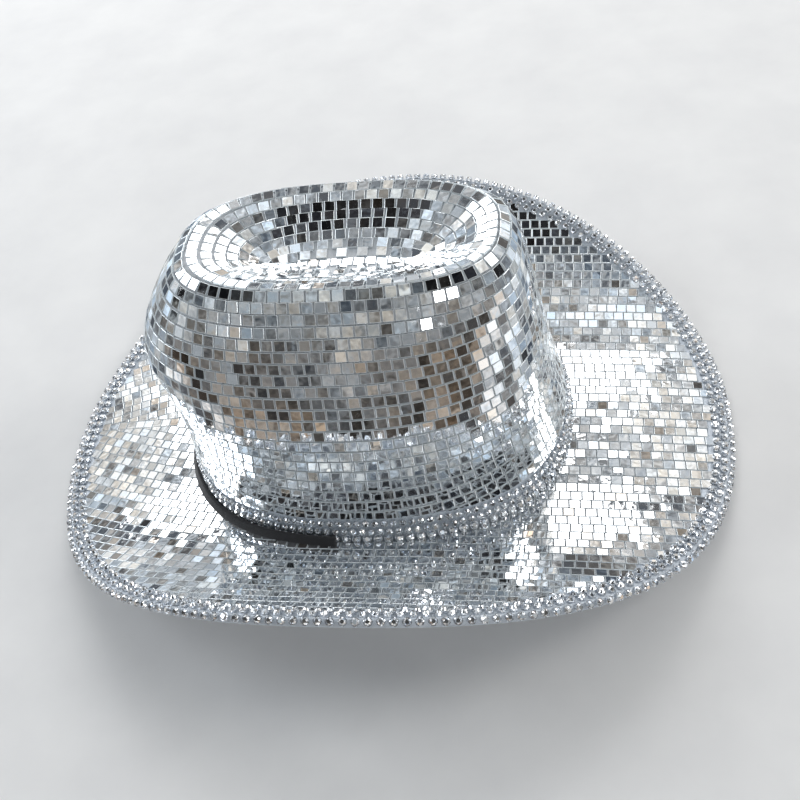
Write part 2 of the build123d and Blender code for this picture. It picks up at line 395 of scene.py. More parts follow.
def steel_surface(f):
    """Drawn spring steel with a few spots of rust."""
    draw = f.noise(2400.0, 4.0)
    rust = f.noise(170.0, 5.0, 0.7).between(0.62, 0.78)
    steel = f.ramp(draw, (0.3, (0.42, 0.42, 0.43)), (0.7, (0.66, 0.66, 0.65)))
    return {
        "Base Color": f.blend(rust, steel, (0.24, 0.12, 0.06, 1)),
        "Metallic": 1.0 - 0.8 * rust,
        "Roughness": 0.28 + 0.2 * draw + 0.3 * rust,
    }


def floor_surface(f):
    """A matt pale studio floor."""
    grain = f.noise(18.0, 5.0)
    return {
        "Base Color": f.ramp(grain, (0.3, (0.74, 0.74, 0.745)), (0.7, (0.80, 0.80, 0.80))),
        "Roughness": 0.75,
    }


MIRROR = coat_of("mirror_silver", mirror_surface)
GLASS_EDGE = coat_of("glass_edge", glass_edge_surface)
STONE = coat_of("foiled_stone", stone_surface)
CUP = coat_of("plated_cup", cup_surface)
BODY_FELT = coat_of("pale_felt", felt_finish((0.60, 0.63, 0.67), (0.92, 0.94, 0.97), 0.3))
RIBBON_FELT = coat_of("black_felt", felt_finish((0.004, 0.004, 0.005), (0.035, 0.035, 0.040), 0.35))
TRIM_TAPE = coat_of(
    "silver_tape", woven_finish((0.38, 0.43, 0.50), (0.76, 0.81, 0.87), 0.9 * MM, 0.3, 0.35)
)
BAND_TAPE = coat_of(
    "band_tape", woven_finish((0.006, 0.006, 0.007), (0.05, 0.05, 0.055), 0.8 * MM, 0.0, 0.7)
)
SIZE_TAPE = coat_of(
    "hook_and_loop", woven_finish((0.004, 0.004, 0.005), (0.06, 0.06, 0.065), 0.5 * MM, 0.0, 0.8)
)
SATIN = coat_of("grey_satin", satin_surface)
FOAM = coat_of("dark_foam", foam_surface)
STEEL = coat_of("spring_steel", steel_surface)


# ---- The hat's surfaces ----------------------------------------------------------------------------
def unit(vectors):
    return vectors / np.linalg.norm(vectors, axis=-1, keepdims=True)


def stacked(x, y, z):
    return np.stack(np.broadcast_arrays(x, y, z), axis=-1)


def oval_reach(turn, half, side, squareness):
    """How far a squarish oval reaches from its middle, in the direction turn."""
    along = np.abs(np.cos(turn) / half) ** squareness
    across = np.abs(np.sin(turn) / side) ** squareness
    return (along + across) ** (-1 / squareness)


SECTIONS = np.array(CROWN_SECTIONS) * (CROWN_HEIGHT, HEAD_FRONT, HEAD_BACK, HEAD_SIDE, 1)
STEPS = np.diff(SECTIONS[:, :4], axis=0) ** 2
# How far each section lies along the crown's skin from the first one, as a mean all round.
ALONG = np.concatenate([[0], np.cumsum(np.sqrt(STEPS[:, 0] + STEPS[:, 1:].mean(axis=1)))])
SLOPES = np.gradient(SECTIONS, ALONG, axis=0)
CREST_AT = ALONG[CREST_SECTION]
DENT_AT = ALONG[-1]


def crown_values(at):
    """Height, front, back, side and squareness of the crown, some way along its skin."""
    at = np.clip(at, 0, DENT_AT)
    i = np.clip(np.searchsorted(ALONG, at, side="right") - 1, 0, len(ALONG) - 2)
    span = ALONG[i + 1] - ALONG[i]
    t = (at - ALONG[i]) / span
    t, span = t[..., None], span[..., None]
    start = SECTIONS[i] * (1 + 2 * t) * (1 - t) ** 2 + SLOPES[i] * span * t * (1 - t) ** 2
    end = SECTIONS[i + 1] * (3 - 2 * t) * t**2 - SLOPES[i + 1] * span * (1 - t) * t**2
    return np.moveaxis(start + end, -1, 0)


def crown_skin(at, turn):
    """A point on the crown's felt: how far along the skin, and the direction from its middle."""
    at, turn = np.broadcast_arrays(np.asarray(at, float), np.asarray(turn, float))
    height, front, back, side, squareness = crown_values(at)
    reach = oval_reach(turn, (front + back) / 2, side, squareness)
    middle = CROWN_MIDDLE + (front - back) / 2
    return stacked(middle + reach * np.cos(turn), reach * np.sin(turn), OPENING + height)


def crown_frame(at, turn):
    """A point on the crown, with the directions round it, up its skin and out of it."""
    small = 1e-4
    near_end = np.minimum(at, DENT_AT - small)
    point = crown_skin(at, turn)
    around = unit(crown_skin(at, turn + small) - crown_skin(at, turn - small))
    upward = crown_skin(near_end + small, turn) - crown_skin(near_end - small, turn)
    outward = unit(np.cross(around, upward))
    return point, around, np.cross(outward, around), outward


def brim_skin(x, y):
    """A point on the brim's upper felt face, with the directions along X, across and out of it."""
    past = np.maximum(np.abs(y) - BRIM_FLAT / 2, 0)
    curl = np.arcsin(np.minimum(past / CURL_RADIUS, 1)) * np.sign(y)
    radius = DIP_RADIUS + CURL_RADIUS * (1 - np.cos(curl))
    lean = np.arcsin(x / radius)
    point = stacked(x, y, OPENING - DIP_RADIUS + radius * np.cos(lean))
    outward = stacked(np.cos(curl) * np.sin(lean), -np.sin(curl), np.cos(curl) * np.cos(lean))
    along = stacked(np.cos(lean), 0, -np.sin(lean))
    return point, along, np.cross(outward, along), outward


def brim_edge(turn, inward, lift):
    """A point some way in from the brim's edge along its face, and some way above the felt.

    Past the edge, where inward is negative, it lies out from the edge.
    """
    turn = np.asarray(turn, float)

    def plan(t):
        reach = oval_reach(t, BRIM_HALF_LENGTH, BRIM_HALF_WIDTH, BRIM_SQUARENESS)
        return reach * np.cos(t), reach * np.sin(t)

    small = 1e-4
    edge, _, _, outward = brim_skin(*plan(turn))
    around = unit(brim_skin(*plan(turn + small))[0] - brim_skin(*plan(turn - small))[0])
    into = np.cross(outward, around)
    inward = np.asarray(inward, float)[..., None]
    lift = np.asarray(lift, float)[..., None]
    moved = edge + into * inward
    point, _, _, face = brim_skin(moved[..., 0], moved[..., 1])
    inside = inward > 0
    face = np.where(inside, face, outward)
    point = np.where(inside, point, moved) + face * lift
    return point, around, np.cross(face, around), face


def above_brim(points):
    """How far points lie above the brim's upper face, straight down."""
    return points[..., 2] - brim_skin(points[..., 0], points[..., 1])[0][..., 2]


def crown_at_brim(height, turn):
    """How far along the crown's skin a given height above the brim is."""
    at = np.full(np.shape(turn), ALONG[1]) + height
    for _ in range(8):
        at = at + height - above_brim(crown_skin(at, turn))
    return at


CLIMB = np.linspace(0, CREST_AT, 400)
CLIMB_LEVELS = OPENING + crown_values(CLIMB)[0]


def crown_at_level(level):
    """How far along the crown's skin a given height above the floor is, on the outer wall."""
    return np.interp(level, CLIMB_LEVELS, CLIMB)


# ---- Making pieces ---------------------------------------------------------------------------------
def make_piece(name, points, faces, materials, replaces=(), smooth=False, marks=None):
    """A mesh object that rides on the hat. marks gives a value for each face."""
    mesh = bpy.data.meshes.new(name)
    mesh.from_pydata(np.reshape(points, (-1, 3)).tolist(), [], [list(map(int, f)) for f in faces])
    for material in materials:
        mesh.materials.append(material)
    mesh.polygons.foreach_set("use_smooth", [smooth] * len(mesh.polygons))
    for mark, values in (marks or {}).items():
        if mark == "material":
            mesh.polygons.foreach_set("material_index", [int(v) for v in values])
        else:
            layer = mesh.attributes.new(mark, "FLOAT", "FACE")
            layer.data.foreach_set("value", np.asarray(values, np.float32))
    mesh.update()
    piece = bpy.data.objects.new(name, mesh)
    bpy.context.scene.collection.objects.link(piece)
    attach(piece, "root")
    if replaces:
        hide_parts(*replaces)
    return piece


def grid_faces(rows, columns, close_rows, close_columns):
    """Quads over a grid of points, numbered row by row."""
    faces = []
    for i in range(rows if close_rows else rows - 1):
        for j in range(columns if close_columns else columns - 1):
            k = (i + 1) % rows
            m = (j + 1) % columns
            faces.append((i * columns + j, i * columns + m, k * columns + m, k * columns + j))
    return faces


def capped_faces(rows, columns):
    """Faces of a cap of two layers: out over the first half of the rows and back over the rest.

    Both layers end at the middle of the rows in a face of their own.
    """
    middle = rows // 2 * columns
    bridge = range(middle - columns, middle)
    faces = [f for i, f in enumerate(grid_faces(rows, columns, True, True)) if i not in bridge]
    faces.append(tuple(bridge))
    faces.append(tuple(reversed(range(middle, middle + columns))))
    return faces


def stamp(shape, frames):
    """Copies of a small shape, one at each frame of point, along, across and outward."""
    point, along, across, outward = frames
    spread = (
        along[:, None, :] * shape[None, :, 0:1]
        + across[:, None, :] * shape[None, :, 1:2]
        + outward[:, None, :] * shape[None, :, 2:3]
    )
    return point[:, None, :] + spread


def stamped_faces(faces, corners, count):
    return [tuple(v + corners * i for v in face) for i in range(count) for face in faces]


TWIST_SHARE = 0.6  # pieces turn on the spot less than they tip


def tipped(frames, degrees_of_play):
    """The frames with each one tipped a little at random, as pieces pressed on by hand are."""
    point, along, across, outward = frames
    tip = np.radians(dice.normal(0, degrees_of_play, (len(point), 3)))
    tip[:, 2] *= TWIST_SHARE
    outward = unit(outward + along * tip[:, :1] + across * tip[:, 1:2])
    along = unit(along + across * tip[:, 2:])
    across = unit(np.cross(outward, along))
    return point, np.cross(across, outward), across, outward


def kept(frames, mask):
    return [part[mask] for part in frames]


# ---- Mirror tiles ------------------------------------------------------------------------------------
HALF = TILE / 2
CORNERS = ((-1, -1), (1, -1), (1, 1), (-1, 1))
SMALLEST_CUT = 0.14  # a cut tile with less of its square left than this isn't laid
BEVEL_AT_CORNER = 1.4  # the bevel is this much wider across a corner
BEVEL_DROP = 0.6  # how deep the bevel is, as a share of its width
# How far tiles tip from true, in degrees: on the flatter sheets, over the crest and in the dent.
SHEET_PLAY = 1.1
CREST_PLAY = 1.3
DENT_PLAY = 1.6


def cut_square(room):
    """The part of a tile's square where room, given at its corners, is positive, going round."""
    outline = []
    for i in range(4):
        j = (i + 1) % 4
        here, after = np.array(CORNERS[i]) * HALF, np.array(CORNERS[j]) * HALF
        if room[i] > 0:
            outline.append(here)
        if (room[i] > 0) != (room[j] > 0):
            outline.append(here + (after - here) * room[i] / (room[i] - room[j]))
    return np.array(outline)


def tile_shape(outline):
    """A bevelled tile of glass with the outline given."""
    centre = outline.mean(axis=0)
    reach = np.linalg.norm(outline - centre, axis=1, keepdims=True)
    drawn_in = TILE_BEVEL * BEVEL_AT_CORNER / np.maximum(reach, TILE_BEVEL * 2)
    inner = centre + (outline - centre) * (1 - drawn_in)
    levels = ((outline, TILE_BED), (outline, TILE_TOP - TILE_BEVEL * BEVEL_DROP), (inner, TILE_TOP))
    points = np.concatenate([np.column_stack([line, np.full(len(line), z)]) for line, z in levels])
    count = len(outline)
    faces = [tuple(range(2 * count, 3 * count)), tuple(reversed(range(count)))]
    faces += grid_faces(3, count, False, True)
    return points, faces


def lay_tiles(name, frames, play, replaces, limits=()):
    """One sheet of mirror tiles, each its own bevelled square of glass.

    Each limit gives how far points lie inside it, and tiles that cross a limit are cut along it.
    """
    corners = stamp(np.array([(x * HALF, y * HALF, 0) for x, y in CORNERS]), frames)
    room = [limit(corners) for limit in limits] or [np.ones(corners.shape[:2])]
    whole = np.all([part.min(axis=1) > 0 for part in room], axis=0)
    frames = tipped(frames, play)
    shape, shape_faces = tile_shape(np.array(CORNERS) * HALF)
    points = [stamp(shape, kept(frames, whole)).reshape(-1, 3)]
    faces = stamped_faces(shape_faces, len(shape), int(whole.sum()))
    sizes = [len(shape_faces)] * int(whole.sum())
    start = len(points[0])
    for i in np.flatnonzero(~whole & np.all([part.max(axis=1) > 0 for part in room], axis=0)):
        crossed = min(room, key=lambda part: part[i].min())
        outline = cut_square(crossed[i])
        x, y = outline.T
        area = abs(np.dot(x, np.roll(y, 1)) - np.dot(y, np.roll(x, 1))) / 2
        if area < SMALLEST_CUT * TILE**2:
            continue
        cut, cut_faces = tile_shape(outline)
        points.append(stamp(cut, [part[i : i + 1] for part in frames])[0])
        faces += [tuple(v + start for v in face) for face in cut_faces]
        sizes.append(len(cut_faces))
        start += len(cut)
    # A random tone for each tile. The mirror finish paints the lowest tones as dark and brown reflections.
    tones = np.repeat(dice.random(len(sizes)), sizes)
    materials = np.concatenate([[0] + [1] * (size - 1) for size in sizes])
    make_piece(
        name,
        np.concatenate(points),
        faces,
        (MIRROR, GLASS_EDGE),
        (replaces,),
        marks={"material": materials, "tone": tones},
    )


RING = np.linspace(-pi, pi, 721)


def row_of_turns(curve, pitch, start):
    """Directions at which pieces stand at an equal pitch along a closed curve."""
    lengths = np.linalg.norm(np.diff(curve, axis=0), axis=1)
    run = np.concatenate([[0], np.cumsum(lengths)])
    count = max(int(run[-1] / pitch), 3)
    places = (np.arange(count) + start) * run[-1] / count
    return np.interp(places % run[-1], run, RING)


def ring_tiles(places):
    """Rows of tiles round the crown, at these places along its skin.

    Each row is spaced along its shorter edge, so that tiles fan out on the bends.
    """
    rows = []
    for at in places:
        edges = [crown_skin(at + edge, RING) for edge in (-HALF, HALF)]
        tightest = min(edges, key=lambda e: np.linalg.norm(np.diff(e, axis=0), axis=1).sum())
        turns = row_of_turns(tightest, TILE_PITCH, dice.random())
        rows.append(crown_frame(np.full(len(turns), at), turns))
    return [np.concatenate(parts) for parts in zip(*rows)]


SEAM_AT = crown_at_level(SEAM)
SEAM_GAP = 0.4 * MM
SIDE_ROWS = 20
CREASE_DROP = 0.8 * MM  # the last row in the dent lies this much below its neighbours
side_places = SEAM_AT - SEAM_GAP - HALF - TILE_PITCH * np.arange(SIDE_ROWS)[::-1]
lay_tiles(
    "side_tiles",
    ring_tiles(side_places),
    SHEET_PLAY,
    "crown_side_tiles",
    (lambda points: above_brim(points) - FOOT_BAND_HEIGHT,),
)
# The cap's rows run over the crest and down to the crease, a whole number of them.
cap_span = DENT_AT - HALF - (SEAM_AT + SEAM_GAP + HALF)
cap_places = np.linspace(SEAM_AT + SEAM_GAP + HALF, DENT_AT - HALF, round(cap_span / TILE_PITCH) + 1)
past_crest = cap_places > CREST_AT
lay_tiles("cap_tiles", ring_tiles(cap_places[~past_crest]), CREST_PLAY, "crown_cap_tiles")
dent_rows = ring_tiles(cap_places[past_crest])
crease_ends = crown_skin(DENT_AT, np.array([pi, 0.0]))
crease_count = int((crease_ends[1, 0] - crease_ends[0, 0]) / TILE_PITCH)
crease_x = (np.arange(crease_count) - (crease_count - 1) / 2) * TILE_PITCH + crease_ends[:, 0].mean()
level_frame = [np.tile(axis, (crease_count, 1)) for axis in np.eye(3)]
crease_row = [stacked(crease_x, 0, crease_ends[0, 2] - CREASE_DROP), *level_frame]
dent_rows = [np.concatenate(parts) for parts in zip(dent_rows, crease_row)]
lay_tiles("dent_mirror_tiles", dent_rows, DENT_PLAY, "dent_tiles")

BACK_BEND = 34.0 * MM  # how far a row has moved towards the middle at the back edge
GRID_STEPS = 40  # rows either side of the middle, more than the brim has room for
NARROWEST_ROW = 0.4  # as a share of half a tile: rows nearer the middle than this are left out


def brim_grid():
    """Square tiles over the brim. Towards the back, the rows bend in with the brim's edge."""
    steps = np.arange(-GRID_STEPS, GRID_STEPS + 1) * TILE_PITCH
    run, row = (part.ravel() for part in np.meshgrid(steps, steps))
    run = run + TILE_PITCH * np.repeat(dice.random(len(steps)), len(steps))
    bend = BACK_BEND * (np.minimum(run, 0) / BRIM_HALF_LENGTH) ** 2
    side = np.sign(row)
    across = np.abs(row) - bend
    past = np.maximum(across - BRIM_FLAT / 2, 0)
    y = side * np.where(
        past > 0,
        BRIM_FLAT / 2 + CURL_RADIUS * np.sin(np.minimum(past / CURL_RADIUS, pi / 2)),
        across,
    )
    rise = CURL_RADIUS * (1 - np.cos(np.minimum(past / CURL_RADIUS, pi / 2)))
    x = (DIP_RADIUS + rise) * np.sin(run / DIP_RADIUS)
    inside = (across > HALF * NARROWEST_ROW) | (row == 0)
    x, y, side, run = (part[inside] for part in (x, y, side, run))
    slope = -side * BACK_BEND * 2 * np.minimum(run, 0) / BRIM_HALF_LENGTH**2
    point, along, cross_row, outward = brim_skin(x, y)
    along = unit(along + cross_row * slope[:, None])
    return point, along, np.cross(outward, along), outward


def room_in_oval(points, middle, half, side, squareness):
    """How far points lie inside an upright oval, in plan."""
    turn = np.arctan2(points[..., 1], points[..., 0] - middle)
    distance = np.hypot(points[..., 1], points[..., 0] - middle)
    return oval_reach(turn, half, side, squareness) - distance


CURL_IN_PLAN = 0.75  # what the tape's width comes to in plan at the sides, where the brim is steep


def room_in_trim(points):
    """How far points lie inside the edge tape."""
    covered = EDGE_TAPE_WIDTH - TILE_PITCH / 2
    half, side = BRIM_HALF_LENGTH - covered, BRIM_HALF_WIDTH - covered * CURL_IN_PLAN
    return room_in_oval(points, 0, half, side, BRIM_SQUARENESS)


def room_round_crown(points):
    """How far points lie outside the crown's foot."""
    middle = CROWN_MIDDLE + (HEAD_FRONT - HEAD_BACK) / 2
    half = (HEAD_FRONT + HEAD_BACK) / 2
    return -room_in_oval(points, middle, half + MM, HEAD_SIDE + MM, CROWN_SECTIONS[1][4])


brim_frames = brim_grid()
on_brim = (room_in_trim(brim_frames[0]) > 0) & (room_round_crown(brim_frames[0]) > -HALF)
brim_frames = kept(brim_frames, on_brim)
brim_sides = np.sign(np.round(brim_frames[0][:, 1] / MM))[:, None]  # 0 on the middle row


def room_beside_spine(points):
    """How far points lie beside the row along the middle of the brim, which is never cut."""
    return np.where(brim_sides == 0, TILE, points[..., 1] * brim_sides - TILE_PITCH / 2)


lay_tiles(
    "brim_mirror_tiles",
    brim_frames,
    SHEET_PLAY,
    "brim_tiles",
    (room_beside_spine, room_round_crown),
)

# ---- Felt body ---------------------------------------------------------------------------------------
FELT_TURNS = np.linspace(0, 2 * pi, 181)[:-1]
FOOT_SUNK = 0.4 * MM  # the crown's foot is pressed this far into the brim


def crown_felt():
    """The blocked crown: one skin of felt, its foot on the brim and its dent closed."""
    foot = crown_at_brim(-FOOT_SUNK, FELT_TURNS)
    shares = np.linspace(0, 1, 90)[:, None]
    at = foot[None, :] * (1 - shares) + DENT_AT * shares
    point, _, _, outward = crown_frame(at, np.broadcast_to(FELT_TURNS, at.shape))
    layers = np.concatenate([point, (point - outward * FELT)[::-1]])
    faces = capped_faces(*layers.shape[:2])
    make_piece("crown_felt", layers, faces, (BODY_FELT,), ("crown_shell",), True)


crown_felt()
frame["nodes"]["brim_shell"].data.materials.clear()
frame["nodes"]["brim_shell"].data.materials.append(BODY_FELT)
frame["nodes"]["brim_wire"].data.materials.clear()
frame["nodes"]["brim_wire"].data.materials.append(STEEL)

# ---- Rhinestones ---------------------------------------------------------------------------------------
STONE_SIDES = 16
STONE_PLAY = 4.0  # how far stones tip from true, in degrees


def ring_points(radius, height, count):
    angles = 2 * pi * np.arange(count) / count
    return stacked(radius * np.cos(angles), radius * np.sin(angles), height)


def stone_shape(radius, height):
    """A round cut stone: a flat table, two rings of facets and a flat foiled back."""
    table = ring_points(radius * 0.52, height, STONE_SIDES // 2)
    girdle = ring_points(radius, height * 0.48, STONE_SIDES)
    back = ring_points(radius * 0.86, height * 0.22, STONE_SIDES)
    points = np.concatenate([table, girdle, back])
    tables = STONE_SIDES // 2
    faces = [tuple(range(tables)), tuple(reversed(range(tables + STONE_SIDES, tables + 2 * STONE_SIDES)))]
    for i in range(tables):
        here = tables + 2 * i
        after = tables + (2 * i + 2) % STONE_SIDES
        faces.append((i, here, here + 1))
        faces.append((i, here + 1, (i + 1) % tables))
        faces.append(((i + 1) % tables, here + 1, after))
    for i in range(STONE_SIDES):
        j = (i + 1) % STONE_SIDES
        low = tables + STONE_SIDES
        faces.append((tables + i, low + i, low + j, tables + j))
    return points, faces


CUP_WALL = 0.22 * MM
# A claw's five pairs of corners, as shares of the stone's radius and height, and its faces.
CLAW_BEND = ((1.14, 0.45), (1.05, 0.86), (0.80, 0.98), (0.84, 0.78), (0.99, 0.50))
CLAW_FACES = (
    (0, 1, 3, 2),
    (2, 3, 5, 4),
    (4, 5, 7, 6),
    (6, 7, 9, 8),
    (0, 2, 6, 8),
    (2, 4, 6),
    (9, 7, 3, 1),
    (7, 5, 3),
)
CLAWS = 4
CLAW_HALF_WIDTH = 0.17  # as a share of the stone's radius


def cup_shape(radius, height):
    """A pressed cup round the stone, with claws folded over its edge."""
    rings = (
        (radius + CUP_WALL * 0.4, 0.0),
        (radius + CUP_WALL, height * 0.25),
        (radius + CUP_WALL, height * 0.56),
        (radius + CUP_WALL * 0.1, height * 0.56),
        (radius * 0.80, height * 0.1),
    )
    points = [ring_points(r, h, STONE_SIDES) for r, h in rings]
    faces = grid_faces(len(rings), STONE_SIDES, False, True)
    start = len(rings) * STONE_SIDES
    faces.append(tuple(range(start - STONE_SIDES, start)))
    for claw in range(CLAWS):
        angle = 2 * pi * (claw + 0.5) / CLAWS
        out = np.array([cos(angle), sin(angle), 0])
        wide = np.array([-sin(angle), cos(angle), 0]) * radius * CLAW_HALF_WIDTH
        for reach, level in CLAW_BEND:
            middle = out * radius * reach + np.array([0, 0, height * level])
            points.append(np.stack([middle - wide, middle + wide]))
        faces += [tuple(start + v for v in face) for face in CLAW_FACES]
        start += 2 * len(CLAW_BEND)
    return np.concatenate(points), faces


def set_stones(name, frames, size, height, node):
    """A row of stones in their cups: two pieces, because glass and metal are two finishes."""
    frames = tipped(frames, STONE_PLAY)
    count = len(frames[0])
    spin = dice.random(count) * pi
    point, along, across, outward = frames
    turned = (
        point,
        along * np.cos(spin)[:, None] + across * np.sin(spin)[:, None],
        across * np.cos(spin)[:, None] - along * np.sin(spin)[:, None],
        outward,
    )
    for kind, shape, material in (("stones", stone_shape, STONE), ("cups", cup_shape, CUP)):
        points, faces = shape(size / 2 - CUP_WALL, height)
        copies = stamp(points, turned)
        make_piece(
            f"{name}_{kind}",
            copies,
            stamped_faces(faces, len(points), count),
            (material,),
            (node,),
        )


EDGE_STONE = 3.9 * MM
EDGE_STONE_PITCH = 5.3 * MM
EDGE_ROWS = (("middle", 2.3 * MM), ("inner", 6.4 * MM))
RIM_LIFT = -0.6 * MM  # the rim's stones sit a little above the middle of the edge
RIM_TILT = radians(18)
for row_name, inward in EDGE_ROWS:
    curve = brim_edge(RING, inward, 0)[0]
    turns = row_of_turns(curve, EDGE_STONE_PITCH, dice.random())
    row_frames = brim_edge(turns, inward, TAPE)
    set_stones(f"edge_{row_name}", row_frames, EDGE_STONE, EDGE_STONE_HEIGHT, f"edge_stones_{row_name}")

rim_curve = brim_edge(RING, -TAPE, RIM_LIFT)[0]
rim_turns = row_of_turns(rim_curve, EDGE_STONE_PITCH, dice.random())
rim_point, rim_along, rim_in, rim_face = brim_edge(rim_turns, -TAPE, RIM_LIFT)
rim_out = rim_face * sin(RIM_TILT) - rim_in * cos(RIM_TILT)
rim_frames = (rim_point, rim_along, np.cross(rim_out, rim_along), rim_out)
set_stones("edge_rim", rim_frames, EDGE_STONE, EDGE_STONE_HEIGHT, "edge_stones_rim")

FOOT_ROWS = (
    # height above the brim, stone, pitch, tilt up from level
    ("low", 2.9 * MM, 4.4 * MM, 5.2 * MM, 32.0),
    ("middle", 8.0 * MM, 3.8 * MM, 4.4 * MM, 10.0),
    ("high", 13.2 * MM, 3.8 * MM, 4.4 * MM, 0.0),
)
for row_name, height, size, pitch, tilt in FOOT_ROWS:
    curve = crown_skin(crown_at_brim(height, RING), RING)
    turns = row_of_turns(curve, pitch, dice.random())
    point, around, _, outward = crown_frame(crown_at_brim(height, turns), turns)
    tilted = unit(outward * cos(radians(tilt)) + np.array([0, 0, sin(radians(tilt))]))
    point = point + outward * TAPE
    row_frames = (point, around, np.cross(tilted, around), tilted)
    set_stones(f"foot_{row_name}", row_frames, size, FOOT_STONE_HEIGHT, f"foot_stones_{row_name}")


# ---- Tapes, ribbon and the inside of the crown -----------------------------------------------------------
def sweep(name, stations, section, place, material, node, closed=True, wobble=0.0):
    """A band with one closed section. place gives the points at a station and section point."""
    points = np.stack([place(stations, a, b) for a, b in section], axis=1)
    if wobble:
        points = points + dice.normal(0, wobble, points.shape)
    rows, columns = points.shape[:2]
    faces = grid_faces(rows, columns, closed, True)
    if not closed:
        faces.append(tuple(range(columns)))
        faces.append(tuple(reversed(range((rows - 1) * columns, rows * columns))))
    return make_piece(name, points, faces, (material,), (node,), True)


def soft_section(low, high, inner, outer, points=5):
    """A flat band's section with rounded long edges: pairs of height and lift."""
    middle, half = (inner + outer) / 2, (outer - inner) / 2
    bend = abs(half)
    angles = np.linspace(0, pi, points)
    top = [(high - bend + bend * sin(a), middle + half * cos(a)) for a in angles]
    bottom = [(low + bend - bend * sin(a), middle - half * cos(a)) for a in angles]
    return top + bottom


def at_brim_height(turns, height, lift):
    point, _, _, outward = crown_frame(crown_at_brim(height, turns), turns)
    return point + outward * lift


def at_level(turns, level, lift):
    at = np.full(len(turns), crown_at_level(level))
    point, _, _, outward = crown_frame(at, turns)
    return point + outward * lift


def at_edge(turns, inward, lift):
    return brim_edge(turns, inward, lift)[0]


ALL_ROUND = np.linspace(0, 2 * pi, 361)[:-1]
TAPE_CLEAR = 0.05 * MM  # between the felt and the tape folded round it
FOLD_IN = 0.3 * MM  # where the inside of the fold leaves the felt's faces
FOLD_CLEAR = 0.02 * MM
edge_bend = [
    (-TAPE * sin(a), -FELT / 2 + (FELT / 2 + TAPE) * cos(a)) for a in np.linspace(0, pi, 9)
]
edge_section = (
    [(EDGE_TAPE_WIDTH, TAPE_CLEAR), (EDGE_TAPE_WIDTH, TAPE)]
    + [(EDGE_TAPE_WIDTH * share, TAPE) for share in (0.75, 0.5, 0.25)]
    + edge_bend
    + [(EDGE_TAPE_RETURN, -FELT - TAPE), (EDGE_TAPE_RETURN, -FELT - TAPE_CLEAR)]
    + [(FOLD_IN, -FELT - TAPE_CLEAR), (FOLD_CLEAR, -FELT / 2), (FOLD_IN, TAPE_CLEAR)]
    + [(EDGE_TAPE_WIDTH * share, TAPE_CLEAR) for share in (0.25, 0.5, 0.75)]
)
sweep("edge_tape_woven", ALL_ROUND, edge_section, at_edge, TRIM_TAPE, "edge_tape")
foot_section = soft_section(0.2 * MM, FOOT_BAND_HEIGHT, 0.1 * MM, TAPE)
sweep("foot_tape_woven", ALL_ROUND, foot_section, at_brim_height, TRIM_TAPE, "foot_tape")

RIBBON_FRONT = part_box("black_ribbon")[1].x
ribbon_end = float(np.arccos((RIBBON_FRONT - CROWN_MIDDLE) / HEAD_FRONT))
ribbon_turns = np.linspace(ribbon_end, 2 * pi - ribbon_end, 260)
ribbon_low = TAPE + FOOT_STONE_HEIGHT


def flared(turns, height, lift):
    """The ribbon lies over the lowest row of stones, so its lower edge stands further out."""
    flare = RIBBON_FLARE * (1 - height / RIBBON_HEIGHT)
    ripple = RIBBON_RIPPLE * np.sin(turns * RIPPLES + height / MM)
    return at_brim_height(turns, height, lift + flare) + ripple[:, None] * (0, 0, 1)


sweep(
    "black_ribbon_felt",
    ribbon_turns,
    soft_section(0.4 * MM, RIBBON_HEIGHT, ribbon_low, ribbon_low + RIBBON, 7),
    flared,
    RIBBON_FELT,
    "black_ribbon",
    closed=False,
    wobble=0.05 * MM,
)

LEVEL = BAND_LOW.z
BAND_TOP = BAND_HIGH.z
sweep(
    "sweatband_tape",
    ALL_ROUND,
    soft_section(LEVEL, BAND_TOP, -FELT - SWEATBAND, -FELT - 0.05 * MM),
    at_level,
    BAND_TAPE,
    "sweatband",
)


def half_turns(node, end, count):
    """Directions across the front (end 1) or the back (end -1) of a node's width."""
    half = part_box(node)[1].y
    depth = abs(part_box(node)[1 if end > 0 else 0].x - CROWN_MIDDLE)
    spread = asin(min(half / depth, 0.95)) * 1.05
    return np.linspace(-spread, spread, count) + (0 if end > 0 else pi)


for piece_name, node, end, inner, outer, material, slot in (
    ("forehead_foam", "sweatband_foam", 1, 3.6, 1.25, FOAM, "foam"),
    ("size_tape_loop_half", "size_tape_loop", -1, 2.1, 1.25, SIZE_TAPE, "size_tape"),
    ("size_tape_hook_half", "size_tape_hook", -1, 3.0, 2.12, SIZE_TAPE, "size_tape"),
):
    low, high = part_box(node)
    section = soft_section(low.z, high.z, -FELT - inner * MM, -FELT - outer * MM, 7)
    made = sweep(
        piece_name, half_turns(node, end, 90), section, at_level, material, node, closed=False
    )

LINING_SHEET = 0.25 * MM
LINING_GAP = 0.15 * MM  # between the felt and the lining
PLEAT_DEPTH = 0.45 * MM
PLEATS = 64


def pleated(turns, level, lift):
    """The side lining: gathered under the sweatband, smooth where it meets the tip."""
    share = np.clip((LINING_SPLIT - level) / (LINING_SPLIT - BAND_TOP), 0, 1)
    fold = -PLEAT_DEPTH * share * (1 + np.sin(turns * PLEATS + 2 * np.sin(turns * 5)))
    at = np.full(len(turns), crown_at_level(level))
    point, _, _, outward = crown_frame(at, turns)
    return point + outward * (lift + fold)[:, None]


levels = np.linspace(BAND_TOP - 3 * MM, LINING_SPLIT, 14)
lining_near = [(level, -FELT - LINING_GAP) for level in levels]
lining_far = [(level, -FELT - LINING_GAP - LINING_SHEET) for level in levels[::-1]]
side_lining = sweep(
    "lining_side_satin",
    np.linspace(0, 2 * pi, 721)[:-1],
    lining_near + lining_far,
    pleated,
    SATIN,
    "lining_side",
)


